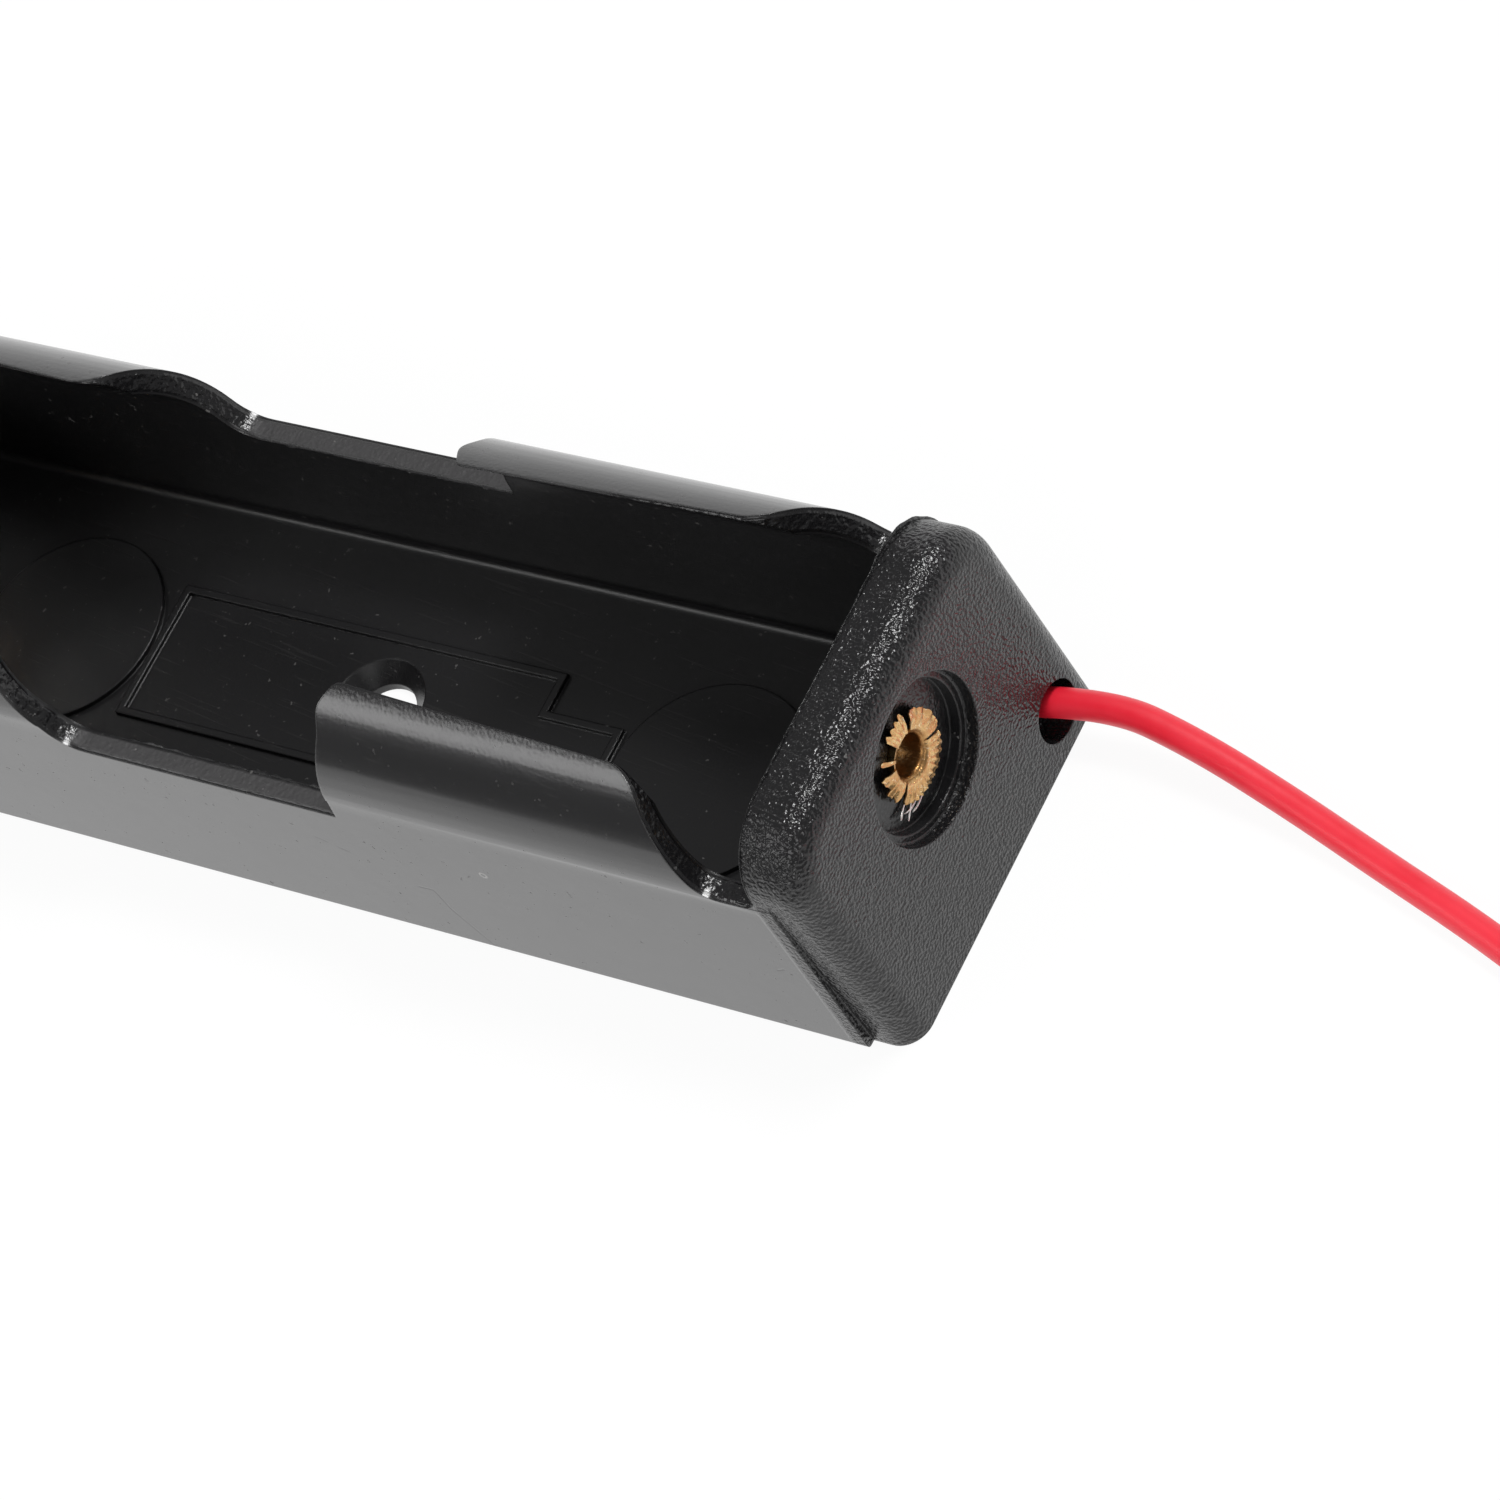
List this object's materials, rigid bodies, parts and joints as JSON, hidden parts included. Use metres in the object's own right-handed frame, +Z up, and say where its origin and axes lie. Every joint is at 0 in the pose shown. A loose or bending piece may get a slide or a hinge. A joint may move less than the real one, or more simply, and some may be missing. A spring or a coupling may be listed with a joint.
{
  "type": "cylindrical cell holder",
  "caption": "Black moulded holder for a cylindrical cell, open on top, with curled side lips, riveted contacts, a coil spring and a red wire lead.",
  "frame": {"origin": "middle of the floor's underside, under the screw hole", "axes": "+Z up out of the open top, +X along the cell towards the positive contact and the red lead"},
  "size_m": [0.1286, 0.0299, 0.0188],
  "materials": {
    "black_plastic": "gloss",
    "nickel_plate": "satin",
    "brass_rivet": "satin",
    "tinned_copper": "satin",
    "red_insulation": "satin",
    "spring_steel": "satin"
  },
  "bodies": {
    "holder": {"tray": "black_plastic", "positive_contact": "nickel_plate", "positive_rivet": "brass_rivet", "red_conductor": "tinned_copper", "red_lead": "red_insulation", "red_lead_coil": "red_insulation", "red_lead_tip": "tinned_copper", "negative_rivet": "brass_rivet"},
    "spring_end": {"negative_spring": "spring_steel"}
  },
  "joints": [
    {"name": "spring_travel", "type": "slide", "parent": "holder", "child": "spring_end", "axis": [-1, 0, 0], "range_m": [0, 0.004], "stiffness_N_per_m": 1700, "deforming": ["negative_spring"]}
  ]
}
